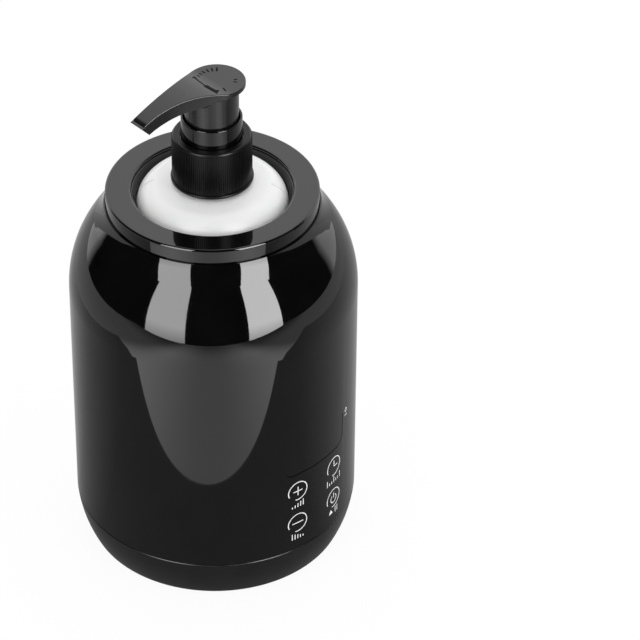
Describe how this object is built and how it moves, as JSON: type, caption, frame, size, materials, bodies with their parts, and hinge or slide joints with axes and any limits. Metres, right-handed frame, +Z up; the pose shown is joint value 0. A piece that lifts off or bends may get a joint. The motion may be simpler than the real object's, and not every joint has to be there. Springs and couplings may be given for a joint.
{
  "type": "massage oil warmer",
  "caption": "Domed electric warmer with a round heated well and a touch panel, holding an upright oil bottle with a twist-lock lotion pump.",
  "frame": {"origin": "on the body's axis, at the soles of the feet", "axes": "+Z up along the body's axis; -Y out of the touch panel; +Y out of the power inlet"},
  "size_m": [0.1, 0.1, 0.1882],
  "materials": {
    "shell_black": "piano black, high gloss",
    "base_black": "black, satin gloss",
    "screw_steel": "zinc plated",
    "seal_rubber": "soft black silicone",
    "well_aluminium": "dark anodised, drawn",
    "film": "amber film",
    "insulation": "pale felt",
    "sensor": "black epoxy",
    "fuse": "white case",
    "lead_red": "red silicone lead",
    "lead_black": "black lead",
    "window": "dark tinted window, high gloss",
    "display": "dark grey segment block",
    "board": "green solder mask",
    "spring_steel": "bright wire",
    "inlet_black": "black moulded",
    "foot_rubber": "black rubber",
    "bottle_white": "milky white, satin",
    "pump_white": "natural white",
    "pump_gloss": "black, glossy",
    "pump_black": "black, satin"
  },
  "bodies": {
    "warmer": {"outer_shell": "shell_black", "base_cover": "base_black", "rim_ring": "shell_black", "rim_screws": "screw_steel", "well_seal": "seal_rubber", "heating_well": "well_aluminium", "heating_film": "film", "insulation_sleeve": "insulation", "insulation_pad": "insulation", "thermistor": "sensor", "thermal_fuse": "fuse", "heater_leads": "lead_red", "display_window": "window", "display_module": "display", "control_board": "board", "board_screws": "screw_steel", "touch_springs": "spring_steel", "buzzer": "inlet_black", "power_inlet": "inlet_black", "inlet_nut": "screw_steel", "inlet_leads": "lead_black", "base_screws": "screw_steel", "rubber_feet": "foot_rubber"},
    "bottle": {"bottle": "bottle_white"},
    "pump": {"neck_gasket": "pump_white", "pump_cylinder": "pump_white", "lock_collar": "pump_gloss", "dip_tube": "pump_white", "pump_spring": "spring_steel"},
    "closure": {"closure_cap": "pump_black"},
    "plunger": {"pump_stem": "pump_white", "pump_piston": "pump_white"},
    "actuator": {"actuator_head": "pump_black"},
    "valve": {"valve_ball": "spring_steel"}
  },
  "joints": [
    {"name": "bottle_lift", "type": "slide", "parent": "warmer", "child": "bottle", "axis": [0, 0, 1], "range_m": [0, 0.14]},
    {"name": "pump_lift", "type": "slide", "parent": "bottle", "child": "pump", "axis": [0, 0, 1], "range_m": [0, 0.0064]},
    {"name": "closure_turn", "type": "hinge", "parent": "pump", "child": "closure", "pos_m": [0, 0, 0.157], "axis": [0, 0, 1], "range_deg": [0, 540]},
    {"name": "pump_press", "type": "slide", "parent": "pump", "child": "plunger", "axis": [0, 0, -1], "range_m": [0, 0.007], "stiffness_N_per_m": 900, "springref_m": -0.008, "deforming": ["pump_spring"]},
    {"name": "actuator_twist", "type": "hinge", "parent": "plunger", "child": "actuator", "pos_m": [0, 0, 0.178], "axis": [0, 0, 1], "range_deg": [0, 90]},
    {"name": "ball_lift", "type": "slide", "parent": "pump", "child": "valve", "axis": [0, 0, 1], "range_m": [0, 0.002]}
  ],
  "couplings": [
    {"joint": "pump_lift", "follows": "closure_turn", "m_per_rad": 0.000673}
  ]
}
